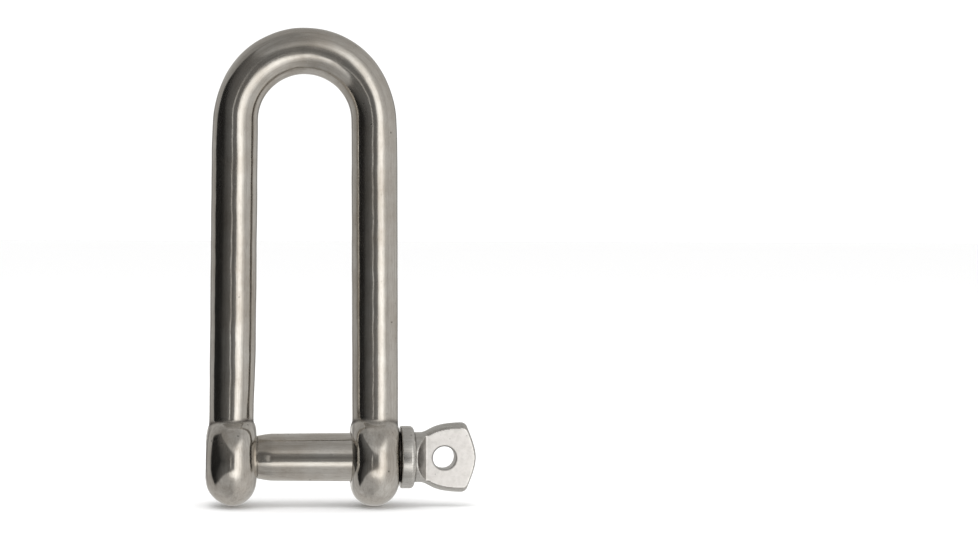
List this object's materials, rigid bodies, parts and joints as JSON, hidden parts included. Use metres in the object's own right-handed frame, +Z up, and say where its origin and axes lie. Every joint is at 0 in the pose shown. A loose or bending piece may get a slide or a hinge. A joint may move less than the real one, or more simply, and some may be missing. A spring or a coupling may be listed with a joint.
{
  "type": "dee shackle",
  "caption": "Long dee shackle: a round-bar bow with two forged ears, closed by a screw pin with a flat, pierced head.",
  "frame": {"origin": "on the pin's axis, midway between the ears' inner faces", "axes": "+X along the pin towards its head, +Z up the bow towards its crown, -Y towards the viewer"},
  "size_m": [0.0589, 0.0198, 0.1038],
  "materials": {
    "polished_bow": "polished stainless steel with fine drawing marks",
    "satin_pin": "polished shank, satin collar and head"
  },
  "bodies": {
    "bow": {"bow": "polished_bow"},
    "pin": {"screw_pin": "satin_pin"}
  },
  "joints": [
    {"name": "pin_withdraw", "type": "slide", "parent": "bow", "child": "pin", "axis": [1, 0, 0], "range_m": [0, 0.05]}
  ]
}
